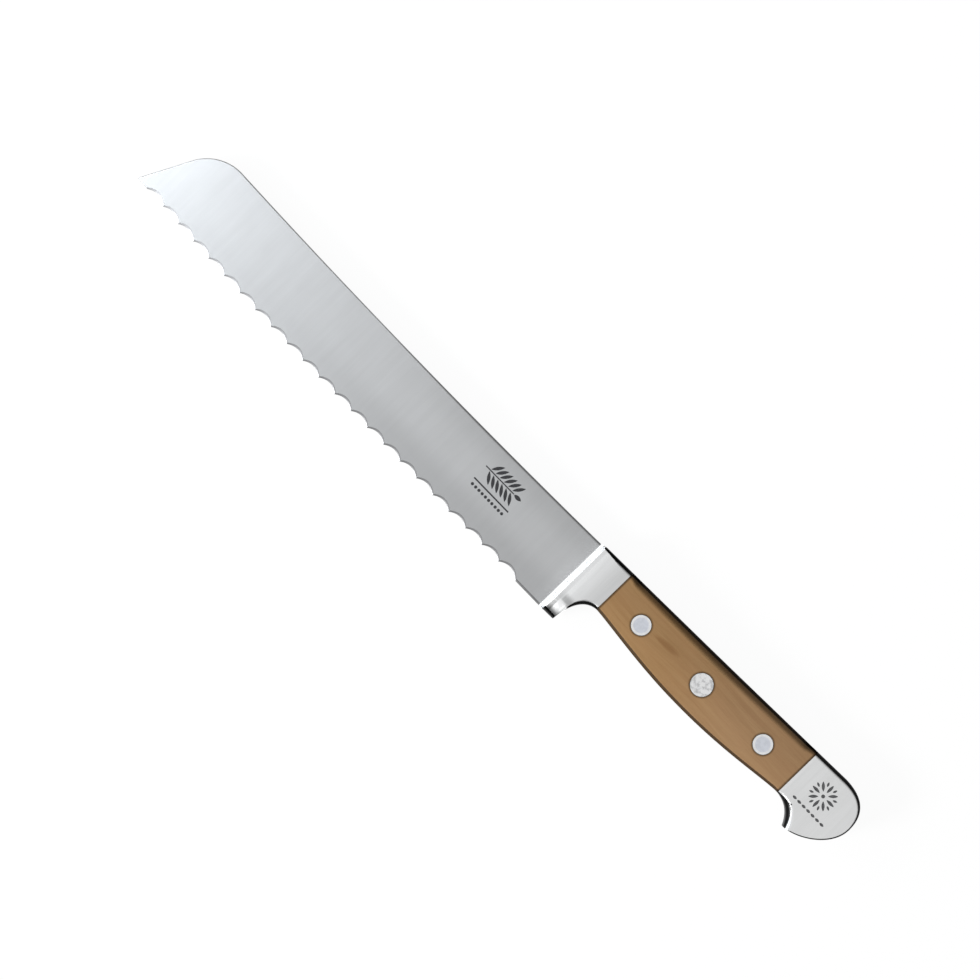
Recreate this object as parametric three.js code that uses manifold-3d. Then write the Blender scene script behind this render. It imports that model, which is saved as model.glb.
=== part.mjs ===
// Bread knife with a forged steel blade, bolster, full tang and pommel in one piece, two pear-wood scales
// and three two-part cutlery rivets. Millimetres, +Z up.
//
// The knife lies on one side. It is drawn in a plane: x runs from the blade's tip to the pommel's end, y from
// the cutting edge to the spine, and z is measured from the blade's middle plane. The group then moves it so
// that the origin is under its middle, on the surface that it lies on.
import * as THREE from "three";
import { mergeVertices } from "three/addons/utils/BufferGeometryUtils.js";
import Module from "manifold-3d";

const wasm = await Module();
wasm.setup();

// ---- Driving dimensions -------------------------------------------------------------------------------

const LENGTH = 339.4; // tip to pommel
const BLADE_END = 206.5; // where the fillet into the bolster starts
const BOLSTER_FACE = 208.8; // front edge of the bolster's flat side
const BOLSTER_BACK = 221.6;
const POMMEL_FRONT = 312.3;

const HANDLE_HALF = 8.5; // half the handle's thickness
const TANG_HALF = 2.2;
const GLUE_LINE = 0.05; // gap between a scale and the steel that it is glued to
const STEEL_EDGE = 2.2; // radius of the rounded edge along the handle's spine, on the steel
const LEAST_EDGE = 0.25; // the smallest radius that any of the handle's edges is rounded to
const HOOK_EDGE = 3.1; // the same, along the pommel's hook where the little finger goes
const HOOK_EDGE_START = 1.0; // the same, where the hook starts
const WOOD_SOFTER = 1.2; // how much further in the wood's rounding reaches than the steel's, along the spine
const WOOD_SOFTEST = 1.85; // the same, at the handle's middle
const WOOD_DEEPER = 1.9; // how many times as far down as in the wood's rounding reaches there
const WOOD_SOFTENS_OVER = 4.6; // distance from a joint over which it becomes so

const EDGE_Y = -3.5; // the cutting edge, behind its curved front part
const EDGE_CURVE_END = 100; // the edge is straight from here back
const TIP_EDGE_Y = -0.2;
const SPINE_Y = 27.3; // the blade's spine at both of its ends
const SPINE_CONTROL_Y = 24.7; // pulls the spine down by half of its distance, in the middle
const TIP_RADIUS = 17; // the spine's round corner above the tip
const TIP_SLOPE = 2; // rise over run of the straight front edge
const SPINE_EDGE = 0.6; // radius that the spine's and the front's edges are eased to
const CUTTING_EDGE = 0.05; // the same, along the cutting edge

// Half the blade's thickness is BLADE_HALF + THINNER_TO_TIP * (x - BLADE_END) + WEDGE * (y - SPINE_Y).
const BLADE_HALF = 1.3;
const THINNER_TO_TIP = 0.25 / 207;
const WEDGE = 0.023;

const SCALLOPS = 23;
const SCALLOP_PITCH = 8.225;
const FIRST_SCALLOP = 8.9; // x of the first scallop's middle
const SCALLOP_DRIFT = 0.5; // how far the middle scallops lie nearer the tip than even spacing would put them
const SCALLOP_DEPTH = 1.6;
const BEVEL_ANGLE = THREE.MathUtils.degToRad(15); // of the ground hollow, to the blade's plane
const DEEPER_FROM = 18; // the scallops from here to the heel are cut a little deeper, each more than the last
const DEEPER_STEP = 0.15;

const RIVET_PITCH = 29.95;
const RIVET_X = 236.7;
const RIVET_Y = 17.5;
const HANDLE_RISE = 0.0267; // the handle's slope against the blade
const OUTER_RIVET = { head: 3.7, tube: 2.6, pin: 1.8 }; // radii
const MIDDLE_RIVET = { head: 4.25, tube: 3.0, pin: 2.1 };
const HEAD_HEIGHT = 2.2;
const HOLE_CLEARANCE = 0.05;

// ---- Materials ----------------------------------------------------------------------------------------

const forgedSteel = new THREE.MeshStandardMaterial({ color: 0xc3c6c8, roughness: 0.32, metalness: 1 });
const pearWood = new THREE.MeshStandardMaterial({ color: 0xa27d54, roughness: 0.5, metalness: 0 });
const rivetSteel = new THREE.MeshStandardMaterial({ color: 0xd3d6dc, roughness: 0.25, metalness: 1 });

// ---- Solids from geometries ---------------------------------------------------------------------------

function solid(geometry) {
  const bare = new THREE.BufferGeometry().setAttribute("position", geometry.getAttribute("position"));
  bare.setIndex(geometry.index);
  const merged = mergeVertices(bare, 1e-4);
  const corners = merged.index.array;
  const triVerts = [];
  for (let i = 0; i < corners.length; i += 3) {
    const [a, b, c] = corners.slice(i, i + 3);
    if (a !== b && b !== c && c !== a) triVerts.push(a, b, c);
  }
  const vertProperties = new Float32Array(merged.attributes.position.array);
  const mesh = new wasm.Mesh({ numProp: 3, vertProperties, triVerts: new Uint32Array(triVerts) });
  return new wasm.Manifold(mesh);
}

function meshOf(name, body, material) {
  const made = body.getMesh();
  const geometry = new THREE.BufferGeometry();
  geometry.setAttribute("position", new THREE.BufferAttribute(new Float32Array(made.vertProperties), 3));
  geometry.setIndex(new THREE.BufferAttribute(new Uint32Array(made.triVerts), 1));
  geometry.computeVertexNormals();
  const mesh = new THREE.Mesh(geometry, material);
  mesh.name = name;
  return mesh;
}

// A box between two corners.
function block(x0, y0, z0, x1, y1, z1) {
  const box = new THREE.BoxGeometry(x1 - x0, y1 - y0, z1 - z0);
  return solid(box.translate((x0 + x1) / 2, (y0 + y1) / 2, (z0 + z1) / 2));
}

// A closed body through rings of equally many points, with its first and last ring filled. `flat` turns a
// point of an end ring into the plane of that ring.
function loft(rings, flat) {
  const count = rings[0].length;
  const positions = rings.flat().flatMap((p) => [p.x, p.y, p.z]);
  const index = [];
  for (let r = 0; r + 1 < rings.length; r++) {
    for (let i = 0; i < count; i++) {
      const j = (i + 1) % count;
      const [a, b, c, d] = [r * count + i, r * count + j, (r + 1) * count + j, (r + 1) * count + i];
      index.push(a, b, c, a, c, d);
    }
  }
  const last = (rings.length - 1) * count;
  for (const [a, b, c] of THREE.ShapeUtils.triangulateShape(rings[0].map(flat), [])) index.push(c, b, a);
  for (const [a, b, c] of THREE.ShapeUtils.triangulateShape(rings.at(-1).map(flat), [])) {
    index.push(last + a, last + b, last + c);
  }
  const geometry = new THREE.BufferGeometry();
  geometry.setAttribute("position", new THREE.Float32BufferAttribute(positions, 3));
  geometry.setIndex(index);
  return solid(geometry);
}

// ---- Outlines -----------------------------------------------------------------------------------------

// The blade's side view, with a plain edge, anticlockwise from the tip: its points, and the radius that the
// edge is eased to at each.
function bladeOutline() {
  const cornerX = (SPINE_Y - TIP_EDGE_Y) / TIP_SLOPE; // where the front edge would meet the spine
  const slope = Math.atan(TIP_SLOPE);
  const spineStart = cornerX + TIP_RADIUS * Math.tan(slope / 2);
  const edge = new THREE.Path().moveTo(0, TIP_EDGE_Y);
  edge.quadraticCurveTo(EDGE_CURVE_END / 2, EDGE_Y, EDGE_CURVE_END, EDGE_Y);
  edge.lineTo(BOLSTER_FACE, EDGE_Y);
  const back = new THREE.Path().moveTo(BOLSTER_FACE, SPINE_Y);
  back.lineTo(BLADE_END, SPINE_Y);
  back.quadraticCurveTo((BLADE_END + spineStart) / 2, SPINE_CONTROL_Y, spineStart, SPINE_Y);
  back.absarc(spineStart, SPINE_Y - TIP_RADIUS, TIP_RADIUS, Math.PI / 2, Math.PI / 2 + slope, false);
  const points = [...edge.getPoints(12), ...back.getPoints(12)];
  const radii = points.map((p) => (p.y > TIP_EDGE_Y + 1 ? SPINE_EDGE : CUTTING_EDGE));
  return { points, radii };
}

const HOOK_STRETCH = 4; // which of the handle's stretches is the inside of the pommel's hook

// The handle's side view from the end of the blade to the pommel, anticlockwise from the heel. Each stretch
// has the radius that its edges are rounded to at its start, middle and end. A radius below LEAST_EDGE stands
// for LEAST_EDGE.
function handleStretches() {
  const at = (x, y) => new THREE.Vector2(x, y);
  const heel = at(213.4, -3.25);
  const neck = at(221.9, 10.05);
  const belly = at(264.5, 7.05);
  const waist = at(310.6, 10.95);
  const hook = at(322.3, 4);
  const rear = at(LENGTH, 20);
  const crown = at(326, 31.65);
  const spineFront = at(BOLSTER_FACE, 27.9);
  const front = [at(BLADE_END, SPINE_Y), at(BLADE_END, EDGE_Y)];
  const cubic = (...points) => new THREE.CubicBezierCurve(...points);
  const top = new THREE.QuadraticBezierCurve(crown, at(265, 29.4), spineFront);
  const rounding = STEEL_EDGE;
  return [
    { curve: new THREE.LineCurve(front[1], heel), steps: 4, edge: [0.3, 0.3, 0.3] },
    { curve: cubic(heel, at(213.7, 3.5), at(216.2, 9.6), neck), steps: 14, edge: [-2.5, 1.7, 1.6] },
    { curve: cubic(neck, at(228, 9.9), at(246, 6.9), belly), steps: 12, edge: [1.5, 1.6, 1.6] },
    { curve: cubic(belly, at(286, 7), at(302, 10.2), waist), steps: 12, edge: [1.6, 1.5, 1.4] },
    { curve: cubic(waist, at(316, 11.3), at(319.8, 9.2), hook), steps: 12, edge: [1.4, 0.5, 0.5] },
    { curve: cubic(hook, at(328.3, 4.1), at(339.5, 11), rear), steps: 14, edge: [0.5, 0.6, 0.7] },
    { curve: cubic(rear, at(LENGTH, 27.8), at(334.6, 31.6), crown), steps: 14, edge: [0.7, 1.5, rounding] },
    { curve: top, steps: 24, edge: [rounding, rounding, rounding] },
    { curve: new THREE.LineCurve(spineFront, front[0]), steps: 1, edge: [rounding, rounding, rounding] },
    { curve: new THREE.LineCurve(front[0], front[1]), steps: 6, edge: [rounding, 0.3, 0.3] },
  ];
}

// The handle's outline as points, and the radius of the rounded edge at each.
function handleOutline() {
  const points = [];
  const radii = [];
  for (const { curve, steps, edge } of handleStretches()) {
    for (let i = 0; i < steps; i++) {
      const t = i / steps;
      points.push(curve.getPointAt(t));
      const [start, middle, end] = edge;
      const radius = (1 - t) * (1 - 2 * t) * start + 4 * t * (1 - t) * middle + t * (2 * t - 1) * end;
      radii.push(Math.max(radius, LEAST_EDGE));
    }
  }
  return { points, radii };
}

// ---- Flat bodies with rounded edges --------------------------------------------------------------------

const ROUNDING_STEPS = 4;

function inward(points, i) {
  const before = points[(i + points.length - 1) % points.length];
  const after = points[(i + 1) % points.length];
  const a = points[i].clone().sub(before).normalize();
  const b = after.clone().sub(points[i]).normalize();
  const along = a.clone().add(b).normalize();
  return new THREE.Vector2(-along.y, along.x).divideScalar(Math.max(along.dot(a), 0.6));
}

// A body with the outline at z = 0 and a flat face on each side, half(x, y) away from there. Its round edges
// reach radii in from the outline, and deeper times that down from the flat face.
function rounded({ points, radii, deeper = radii.map(() => 1) }, half) {
  const normals = points.map((_, i) => inward(points, i));
  const ring = (turn, side) =>
    points.map((p, i) => {
      const inset = radii[i] * (1 - Math.cos(turn));
      const x = p.x + normals[i].x * inset;
      const y = p.y + normals[i].y * inset;
      return new THREE.Vector3(x, y, side * (half(x, y) - radii[i] * deeper[i] * (1 - Math.sin(turn))));
    });
  const turns = Array.from({ length: ROUNDING_STEPS + 1 }, (_, k) => (k / ROUNDING_STEPS) * (Math.PI / 2));
  const lower = turns.toReversed().map((turn) => ring(turn, -1));
  const upper = turns.map((turn) => ring(turn, 1));
  return loft([...lower, ...upper], (p) => new THREE.Vector2(p.x, p.y));
}

// A body that is larger than the handle all round, but for the inside of the hook, where it has the handle's
// outline and a wide rounded edge. Its outline runs on past the hook's tip in a straight line.
function hookGrind() {
  const inside = handleStretches()[HOOK_STRETCH].curve.getPoints(12);
  const onward = inside.at(-1).clone().sub(inside.at(-2)).setLength(12);
  const end = inside.at(-1).clone().add(onward);
  const past = [end, [LENGTH + 30, end.y], [LENGTH + 30, 60], [-30, 60], [-30, -30], [220, -30], [290, 6]];
  const points = [...inside, ...past.map((p) => (Array.isArray(p) ? new THREE.Vector2(...p) : p))];
  const radii = points.map((_, i) => (i <= inside.length ? HOOK_EDGE : 0.3));
  const start = HOOK_EDGE_START / HOOK_EDGE;
  for (let i = 0; i < 6; i++) radii[i] *= start + (1 - start) * (i / 6);
  return rounded({ points, radii }, () => HANDLE_HALF);
}

// The whole handle as it is ground. The bolster, tang and pommel are parts of the first, and the scales are
// parts of the second, which is rounded more along its spine between the joints.
function handleBodies() {
  const steel = handleOutline();
  const span = POMMEL_FRONT - BOLSTER_BACK;
  const share = steel.points.map((p) => {
    const fromJoint = Math.min(p.x - BOLSTER_BACK, POMMEL_FRONT - p.x) / WOOD_SOFTENS_OVER;
    return p.y > SPINE_Y ? THREE.MathUtils.smoothstep(fromJoint, 0, 1) : 0;
  });
  const radii = steel.points.map((p, i) => {
    const middle = Math.sin(((p.x - BOLSTER_BACK) / span) * Math.PI) ** 2;
    return steel.radii[i] + share[i] * (WOOD_SOFTER + (WOOD_SOFTEST - WOOD_SOFTER) * middle);
  });
  const deeper = share.map((s) => 1 + (WOOD_DEEPER - 1) * s);
  const half = () => HANDLE_HALF;
  const hook = hookGrind();
  return {
    steel: rounded(steel, half).intersect(hook),
    wood: rounded({ points: steel.points, radii, deeper }, half).intersect(hook),
  };
}

// ---- Forging ------------------------------------------------------------------------------------------

function bladeHalf(x, y) {
  return BLADE_HALF + THINNER_TO_TIP * (x - BLADE_END) + WEDGE * (y - SPINE_Y);
}

// One ground hollow. Its round bottom runs from the scallop's deepest point on the upper side of the blade
// down to the lower side.
function scallopCutter(number) {
  const drift = SCALLOP_DRIFT * Math.sin((Math.PI * number) / (SCALLOPS - 1));
  const x = FIRST_SCALLOP + number * SCALLOP_PITCH - drift;
  const before = Math.max(0, EDGE_CURVE_END - x) / EDGE_CURVE_END;
  const edge = EDGE_Y + (TIP_EDGE_Y - EDGE_Y) * before ** 2;
  const y = edge + SCALLOP_DEPTH + DEEPER_STEP * Math.max(0, number - DEEPER_FROM);
  const z = bladeHalf(x, y);
  const sink = SCALLOP_DEPTH * Math.sin(BEVEL_ANGLE);
  const radius = SCALLOP_PITCH ** 2 / (8 * sink) + sink / 2;
  const wheel = new THREE.CylinderGeometry(radius, radius, 40, 112);
  wheel.rotateX(-BEVEL_ANGLE);
  wheel.translate(x, y - radius * Math.sin(BEVEL_ANGLE), z - radius * Math.cos(BEVEL_ANGLE));
  return solid(wheel);
}

function blade() {
  let made = rounded(bladeOutline(), bladeHalf);
  for (let i = 0; i < SCALLOPS; i++) made = made.subtract(scallopCutter(i));
  return made;
}

// What the bolster's front is cut to: a concave fillet out of the blade's side, a steep wall, and a side that
// falls a little towards the front.
function bolsterFront() {
  const FILLET = 1.35;
  const WALL_LEAN = 0.45;
  const WALL_TOP = 7.6;
  const CROWN = 0.45; // fall of the side at its front
  const CROWN_END = 219.5;
  const STEPS = 6;
  const section = (y) => {
    const half = [];
    for (let i = 0; i <= STEPS; i++) {
      const turn = (i / STEPS) * (Math.PI / 2);
      const rise = FILLET * (1 - Math.cos(turn));
      half.push([BLADE_END + FILLET * Math.sin(turn), bladeHalf(BLADE_END, y) + rise]);
    }
    half.push([BLADE_END + FILLET + WALL_LEAN, WALL_TOP]);
    for (let i = 0; i <= STEPS; i++) {
      const fall = CROWN * (1 - i / STEPS) ** 2;
      half.push([BOLSTER_FACE + (CROWN_END - BOLSTER_FACE) * (i / STEPS), HANDLE_HALF + 0.002 - fall]);
    }
    half.push([BOLSTER_BACK, HANDLE_HALF + 1]);
    const upper = half.map(([x, z]) => new THREE.Vector3(x, y, z));
    const lower = half.map(([x, z]) => new THREE.Vector3(x, y, -z)).reverse();
    return [...upper, ...lower];
  };
  return loft([section(EDGE_Y - 1), section(SPINE_Y + 4)], (p) => new THREE.Vector2(p.z, p.x));
}

// What is ground off one side of the bolster's heel: a gentle slope, and a round that narrows the heel to its
// underside.
function heelCutter(side) {
  const BOTTOM_HALF = 1.2;
  const SLOPE_FROM = 3.6; // y where the flat side ends
  const SLOPE = THREE.MathUtils.degToRad(20);
  const ROUND_FROM = -1.6; // y where the slope ends
  const far = HANDLE_HALF + 2;
  const deep = HANDLE_HALF - (SLOPE_FROM - ROUND_FROM) * Math.tan(SLOPE) - BOTTOM_HALF;
  const shape = new THREE.Shape();
  shape.moveTo(far, EDGE_Y - 2).lineTo(far, SLOPE_FROM).lineTo(HANDLE_HALF, SLOPE_FROM);
  shape.absellipse(BOTTOM_HALF, ROUND_FROM, deep, ROUND_FROM - EDGE_Y, -0.1, -Math.PI / 2, true);
  shape.lineTo(BOTTOM_HALF, EDGE_Y - 2);
  const cutter = new THREE.ExtrudeGeometry(shape, { depth: 20, bevelEnabled: false, curveSegments: 10 });
  cutter.rotateY(-Math.PI / 2).translate(BOLSTER_BACK, 0, 0);
  return side > 0 ? solid(cutter) : solid(cutter).mirror([0, 0, 1]);
}

function forging(ground) {
  const past = 4; // how far a cutting box goes past what it cuts
  const reach = HANDLE_HALF + past;
  const tall = 40;
  let bolster = ground.intersect(bolsterFront());
  for (const side of [-1, 1]) bolster = bolster.subtract(heelCutter(side));
  const pommel = ground.intersect(block(POMMEL_FRONT, -past, -reach, LENGTH + past, tall, reach));
  const tangSpan = block(BOLSTER_BACK - past, -past, -TANG_HALF, POMMEL_FRONT + past, tall, TANG_HALF);
  const tang = ground.intersect(tangSpan);
  let made = blade().add(bolster).add(tang).add(pommel);
  for (const rivet of rivets) {
    const hole = new THREE.CylinderGeometry(rivet.tube + 0.1, rivet.tube + 0.1, 3 * TANG_HALF, ROUND);
    made = made.subtract(solid(hole.rotateX(Math.PI / 2).translate(rivet.x, rivet.y, 0)));
  }
  return meshOf("forging", made, forgedSteel);
}

// ---- Rivets: a pin on the upper side pressed into a tube on the lower side -----------------------------

const ROUND = 32; // sides of a round piece

const rivets = ["front", "middle", "rear"].map((place, i) => ({
  place,
  x: RIVET_X + i * RIVET_PITCH,
  y: RIVET_Y + i * RIVET_PITCH * HANDLE_RISE,
  ...(place === "middle" ? MIDDLE_RIVET : OUTER_RIVET),
}));

function turned(name, profile, rivet) {
  const geometry = new THREE.LatheGeometry(
    profile.map(([r, z]) => new THREE.Vector2(r, z)),
    ROUND,
  );
  const mesh = meshOf(name, solid(geometry.rotateX(Math.PI / 2)), rivetSteel);
  mesh.position.set(rivet.x, rivet.y, 0);
  return mesh;
}

function rivetPin(rivet) {
  const CHAMFER = 0.2;
  const top = HANDLE_HALF;
  const profile = [
    [0, -HANDLE_HALF + HEAD_HEIGHT + 0.8],
    [rivet.pin, -HANDLE_HALF + HEAD_HEIGHT + 0.8],
    [rivet.pin, top - HEAD_HEIGHT],
    [rivet.head, top - HEAD_HEIGHT],
    [rivet.head, top - CHAMFER],
    [rivet.head - CHAMFER, top],
    [0, top],
  ];
  return turned(`rivet_pin_${rivet.place}`, profile, rivet);
}

function rivetTube(rivet) {
  const CHAMFER = 0.2;
  const bottom = -HANDLE_HALF;
  const mouth = HANDLE_HALF - HEAD_HEIGHT - 0.3;
  const bore = rivet.pin + HOLE_CLEARANCE;
  const profile = [
    [0, bottom],
    [rivet.head - CHAMFER, bottom],
    [rivet.head, bottom + CHAMFER],
    [rivet.head, bottom + HEAD_HEIGHT],
    [rivet.tube, bottom + HEAD_HEIGHT],
    [rivet.tube, mouth],
    [bore, mouth],
    [bore, bottom + HEAD_HEIGHT],
    [0, bottom + HEAD_HEIGHT],
  ];
  return turned(`rivet_tube_${rivet.place}`, profile, rivet);
}

// ---- Scales: the wooden sides of the handle -----------------------------------------------------------

function scale(name, ground, side) {
  const inner = side * (TANG_HALF + GLUE_LINE);
  const outer = side * (HANDLE_HALF + 1);
  const z = [Math.min(inner, outer), Math.max(inner, outer)];
  let made = ground.intersect(block(BOLSTER_BACK + GLUE_LINE, -5, z[0], POMMEL_FRONT - GLUE_LINE, 40, z[1]));
  for (const rivet of rivets) {
    const step = HANDLE_HALF - HEAD_HEIGHT - HOLE_CLEARANCE;
    const profile = [
      [0, 0],
      [rivet.tube + HOLE_CLEARANCE, 0],
      [rivet.tube + HOLE_CLEARANCE, step],
      [rivet.head + HOLE_CLEARANCE, step],
      [rivet.head + HOLE_CLEARANCE, HANDLE_HALF + 2],
      [0, HANDLE_HALF + 2],
    ].map(([r, h]) => new THREE.Vector2(r, h));
    const hole = new THREE.LatheGeometry(profile, ROUND).rotateX((side * Math.PI) / 2);
    made = made.subtract(solid(hole.translate(rivet.x, rivet.y, 0)));
  }
  return meshOf(name, made, pearWood);
}

// ---- The knife ----------------------------------------------------------------------------------------

const { steel, wood } = handleBodies();
const assembly = new THREE.Group();
assembly.add(forging(steel));
assembly.add(scale("scale_upper", wood, 1));
assembly.add(scale("scale_lower", wood, -1));
for (const rivet of rivets) assembly.add(rivetPin(rivet), rivetTube(rivet));

const box = new THREE.Box3().setFromObject(assembly);
assembly.position.set(-LENGTH / 2, -(box.min.y + box.max.y) / 2, HANDLE_HALF);

const knife = new THREE.Group();
knife.add(assembly);

export default knife;
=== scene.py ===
"""Bread knife: the detailed forging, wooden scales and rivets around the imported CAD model, and the studio."""
import math

import bmesh
import bpy
import numpy as np
from mathutils import Matrix, Vector


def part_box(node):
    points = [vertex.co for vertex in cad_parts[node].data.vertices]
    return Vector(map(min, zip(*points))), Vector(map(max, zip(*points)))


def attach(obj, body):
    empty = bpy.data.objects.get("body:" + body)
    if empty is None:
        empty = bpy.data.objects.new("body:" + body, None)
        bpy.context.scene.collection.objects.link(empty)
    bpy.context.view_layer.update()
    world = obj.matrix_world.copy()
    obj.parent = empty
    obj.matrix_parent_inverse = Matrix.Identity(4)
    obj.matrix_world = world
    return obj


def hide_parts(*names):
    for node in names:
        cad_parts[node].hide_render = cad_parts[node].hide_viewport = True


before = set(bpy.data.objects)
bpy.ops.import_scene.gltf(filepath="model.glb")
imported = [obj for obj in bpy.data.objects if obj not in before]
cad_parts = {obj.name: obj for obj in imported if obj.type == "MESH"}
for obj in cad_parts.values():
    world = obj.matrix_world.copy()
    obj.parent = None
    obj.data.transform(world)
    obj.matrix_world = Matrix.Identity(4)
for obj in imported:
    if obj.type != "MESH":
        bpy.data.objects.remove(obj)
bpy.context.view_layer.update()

# ---- Dimensions, in millimetres ------------------------------------------------------------------------
# The knife is drawn lying on its side: x from the blade's tip to the pommel, y from the cutting edge to the
# spine, and z from the blade's middle plane up.

MM = 0.001
LENGTH = 339.4
BLADE_END = 206.5  # where the fillet into the bolster starts
BOLSTER_FACE = 208.8  # front edge of the bolster's flat side
BOLSTER_BACK = 221.6
POMMEL_FRONT = 312.3

HANDLE_HALF = 8.5  # half the handle's thickness
HANDLE_SPINE_Y = 27.9  # the handle's spine at the bolster's front
TANG_HALF = 2.2
GLUE_LINE = 0.05  # gap between a scale and the steel that it is glued to
STEEL_EDGE = 2.2  # radius of the rounded edge along the handle's spine, on the steel
LEAST_EDGE = 0.25  # the smallest radius that the handle's edges are rounded to
HOOK_EDGE = 3.1  # radius of the rounded edge inside the pommel's hook, at its tip
HOOK_EDGE_START = 1.0  # the same, where the hook starts
WOOD_SOFTER = 1.2  # how much further in the wood's rounding reaches than the steel's, along the spine
WOOD_SOFTEST = 1.85  # the same, at the handle's middle
WOOD_DEEPER = 1.9  # how many times as far down as in that rounding reaches
WOOD_SOFTENS_OVER = 4.6  # it starts as the steel's at each joint, and is full this far from there

EDGE_Y = -3.5  # the cutting edge, behind its curved front part
EDGE_CURVE_END = 100  # the edge is straight from here back
TIP_EDGE_Y = -0.2
SPINE_Y = 27.3  # the blade's spine at both of its ends
SPINE_CONTROL_Y = 24.7  # pulls the spine down by half of its distance, in the middle
TIP_RADIUS = 17  # the spine's round corner above the tip
TIP_SLOPE = 2  # rise over run of the straight front edge
SPINE_EDGE = 0.6  # radius that the blade's spine is rounded to
HEEL_SPINE_EDGE = 1.2  # the same, near the bolster
TIP_FRONT_EDGE = 0.35  # the same, along the straight front edge
CUTTING_EDGE = 0.3  # how far in the upper side falls to the cutting edge
HEEL_EDGE = 0.8  # the same, along the edge's rear part
HEEL_EDGE_FROM = 140
BLADE_EDGES_DEEPER = 0.5  # how many times as far down as in the blade's edges are rounded

# Half the blade's thickness is BLADE_HALF + THINNER_TO_TIP * (x - BLADE_END) + WEDGE * (y - SPINE_Y).
BLADE_HALF = 1.3
THINNER_TO_TIP = 0.25 / 207
WEDGE = 0.023

SCALLOPS = 23
SCALLOP_PITCH = 8.225
FIRST_SCALLOP = 8.9  # x of the first scallop's middle
SCALLOP_DRIFT = 0.5  # how far the middle scallops lie nearer the tip than even spacing would put them
SCALLOP_DEPTH = 1.6
BEVEL_ANGLE = math.radians(15)  # of the ground hollow, to the blade's plane
DEEPER_FROM = 18  # the scallops from here to the heel are cut a little deeper, each more than the last
DEEPER_STEP = 0.15

HEAD_HEIGHT = 2.2
# The x and y of each rivet's middle, and the radii of its head and its tube.
RIVETS = {
    "front": (236.7, 17.5, 3.7, 2.6),
    "middle": (266.6, 18.2, 4.25, 3.0),
    "rear": (296.6, 19.1, 3.7, 2.6),
}

# The lowest corner of the forging's box is the tip's x, the cutting edge's y and the handle's lower side.
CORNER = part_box("forging")[0]
ORIGIN = np.array([CORNER.x, CORNER.y - EDGE_Y * MM, CORNER.z + HANDLE_HALF * MM])


def place(points):
    """Drawing points in millimetres as points of the row frame in metres."""
    return np.asarray(points, float) * MM + ORIGIN


# ---- Curves ---------------------------------------------------------------------------------------------


def bezier(*control):
    """A function of 0 to 1 that runs evenly along the Bezier curve of the control points."""
    c = np.array(control, float)
    n = len(c) - 1
    t = np.linspace(0, 1, 801)[:, None]
    dense = sum(math.comb(n, k) * t**k * (1 - t) ** (n - k) * c[k] for k in range(n + 1))
    run = np.concatenate([[0], np.cumsum(np.linalg.norm(np.diff(dense, axis=0), axis=1))])
    run /= run[-1]
    return lambda s: np.stack([np.interp(s, run, dense[:, k]) for k in range(2)], axis=-1)


def handle_stretches():
    """The handle's side view, anticlockwise from the heel: each stretch's curve, its number of points and the
    radius of its rounded edge at the start, middle and end. Less than LEAST_EDGE stands for LEAST_EDGE."""
    heel, neck, belly = (213.4, -3.25), (221.9, 10.05), (264.5, 7.05)
    waist, hook = (310.6, 10.95), (322.3, 4)
    rear, crown, spine = (LENGTH, 20), (326, 31.65), (BOLSTER_FACE, HANDLE_SPINE_Y)
    low, high = (BLADE_END, EDGE_Y), (BLADE_END, SPINE_Y)
    r = STEEL_EDGE
    return [
        (bezier(low, heel), 10, (0.3, 0.3, 0.3)),
        (bezier(heel, (213.7, 3.5), (216.2, 9.6), neck), 60, (-2.5, 1.7, 1.6)),
        (bezier(neck, (228, 9.9), (246, 6.9), belly), 60, (1.5, 1.6, 1.6)),
        (bezier(belly, (286, 7), (302, 10.2), waist), 60, (1.6, 1.5, 1.4)),
        (bezier(waist, (316, 11.3), (319.8, 9.2), hook), 60, (1.4, 0.5, 0.5)),
        (bezier(hook, (328.3, 4.1), (339.5, 11), rear), 70, (0.5, 0.6, 0.7)),
        (bezier(rear, (LENGTH, 27.8), (334.6, 31.6), crown), 70, (0.7, 1.5, r)),
        (bezier(crown, (265, 29.4), spine), 150, (r, r, r)),
        (bezier(spine, high), 1, (r, r, r)),
        (bezier(high, low), 12, (r, 0.3, 0.3)),
    ]


HOOK_STRETCH = 4  # the inside of the pommel's hook, among those


def handle_outline():
    points, radii = [], []
    for curve, steps, (first, middle, last) in handle_stretches():
        t = np.arange(steps) / steps
        points.append(curve(t))
        radii.append((1 - t) * (1 - 2 * t) * first + 4 * t * (1 - t) * middle + t * (2 * t - 1) * last)
    return np.concatenate(points), np.maximum(np.concatenate(radii), LEAST_EDGE)


def edge_y(x):
    """Height of the cutting edge, ignoring its scallops."""
    before = np.clip(EDGE_CURVE_END - np.asarray(x, float), 0, None) / EDGE_CURVE_END
    return EDGE_Y + (TIP_EDGE_Y - EDGE_Y) * before**2


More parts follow.
